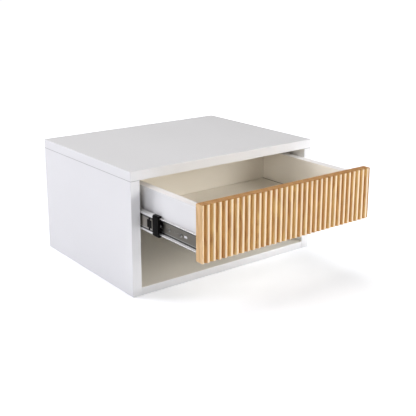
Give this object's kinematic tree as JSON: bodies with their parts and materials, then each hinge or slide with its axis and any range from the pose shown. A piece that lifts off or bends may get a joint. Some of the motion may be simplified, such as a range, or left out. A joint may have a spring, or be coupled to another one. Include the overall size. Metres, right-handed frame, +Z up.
{
  "type": "floating nightstand",
  "caption": "Wall-hung nightstand: white lacquered carcass with an open shelf under one inset drawer, reeded wooden front, ball-bearing slides.",
  "frame": {"origin": "centre of the carcass's underside", "axes": "+X to the right, +Y to the wall along the drawer's travel, +Z up"},
  "size_m": [0.466, 0.549, 0.25],
  "materials": {
    "white_lacquer": "white gloss lacquer on board",
    "drawer_box": "off-white satin foil on board",
    "reeded_wood": "light oiled wood, straight grain",
    "plain_wood": "bare wood",
    "zinc_steel": "zinc-plated sheet steel",
    "cage_steel": "thin sheet steel with steel balls",
    "black_plastic": "black moulded plastic",
    "screw_steel": "bright zinc-plated steel"
  },
  "bodies": {
    "cabinet": {"top_panel": "white_lacquer", "left_side": "white_lacquer", "right_side": "white_lacquer", "bottom_panel": "white_lacquer", "back_panel": "white_lacquer", "hanging_cleat": "plain_wood", "top_dowel_left_front": "plain_wood", "top_dowel_left_rear": "plain_wood", "top_dowel_right_front": "plain_wood", "top_dowel_right_rear": "plain_wood", "bottom_dowel_left_front": "plain_wood", "bottom_dowel_left_rear": "plain_wood", "bottom_dowel_right_front": "plain_wood", "bottom_dowel_right_rear": "plain_wood", "cleat_dowel_left": "plain_wood", "cleat_dowel_right": "plain_wood", "cabinet_member_left": "zinc_steel", "cabinet_member_right": "zinc_steel", "rear_stop_left": "black_plastic", "rear_stop_right": "black_plastic", "cabinet_screw_left_front": "screw_steel", "cabinet_screw_left_middle": "screw_steel", "cabinet_screw_left_rear": "screw_steel", "cabinet_screw_right_front": "screw_steel", "cabinet_screw_right_middle": "screw_steel", "cabinet_screw_right_rear": "screw_steel"},
    "outer_ball_cages": {"outer_ball_cage_left": "cage_steel", "outer_ball_cage_right": "cage_steel"},
    "middle_members": {"middle_member_left": "zinc_steel", "middle_member_right": "zinc_steel", "bumper_left": "black_plastic", "bumper_right": "black_plastic"},
    "inner_ball_cages": {"inner_ball_cage_left": "cage_steel", "inner_ball_cage_right": "cage_steel"},
    "drawer": {"drawer_front": "reeded_wood", "inner_front": "drawer_box", "box_side_left": "drawer_box", "box_side_right": "drawer_box", "box_back": "drawer_box", "box_bottom": "drawer_box", "front_screw_left_lower": "screw_steel", "front_screw_left_upper": "screw_steel", "front_screw_right_lower": "screw_steel", "front_screw_right_upper": "screw_steel", "drawer_member_left": "zinc_steel", "drawer_member_right": "zinc_steel", "lever_rivet_left": "screw_steel", "lever_rivet_right": "screw_steel", "drawer_screw_left_front": "screw_steel", "drawer_screw_left_middle": "screw_steel", "drawer_screw_left_rear": "screw_steel", "drawer_screw_right_front": "screw_steel", "drawer_screw_right_middle": "screw_steel", "drawer_screw_right_rear": "screw_steel"},
    "left_lever": {"release_lever_left": "black_plastic"},
    "right_lever": {"release_lever_right": "black_plastic"}
  },
  "joints": [
    {"name": "middle_slide", "type": "slide", "parent": "cabinet", "child": "middle_members", "axis": [0, -1, 0], "range_m": [-0.077, 0.048]},
    {"name": "drawer_slide", "type": "slide", "parent": "middle_members", "child": "drawer", "axis": [0, -1, 0], "range_m": [-0.114, 0.011]},
    {"name": "outer_cage_roll", "type": "slide", "parent": "cabinet", "child": "outer_ball_cages", "axis": [0, -1, 0], "range_m": [-0.0385, 0.024]},
    {"name": "inner_cage_roll", "type": "slide", "parent": "middle_members", "child": "inner_ball_cages", "axis": [0, -1, 0], "range_m": [-0.057, 0.0055]},
    {"name": "left_lever_press", "type": "hinge", "parent": "drawer", "child": "left_lever", "pos_m": [-0.2025, -0.232, 0.154], "axis": [1, 0, 0], "range_deg": [0, 9], "stiffness_Nm_per_rad": 0.05, "springref_deg": -11.46},
    {"name": "right_lever_press", "type": "hinge", "parent": "drawer", "child": "right_lever", "pos_m": [0.2025, -0.232, 0.151], "axis": [-1, 0, 0], "range_deg": [0, 9], "stiffness_Nm_per_rad": 0.05, "springref_deg": -11.46}
  ],
  "couplings": [
    {"joint": "outer_cage_roll", "follows": "middle_slide", "ratio": 0.5},
    {"joint": "inner_cage_roll", "follows": "drawer_slide", "ratio": 0.5}
  ]
}
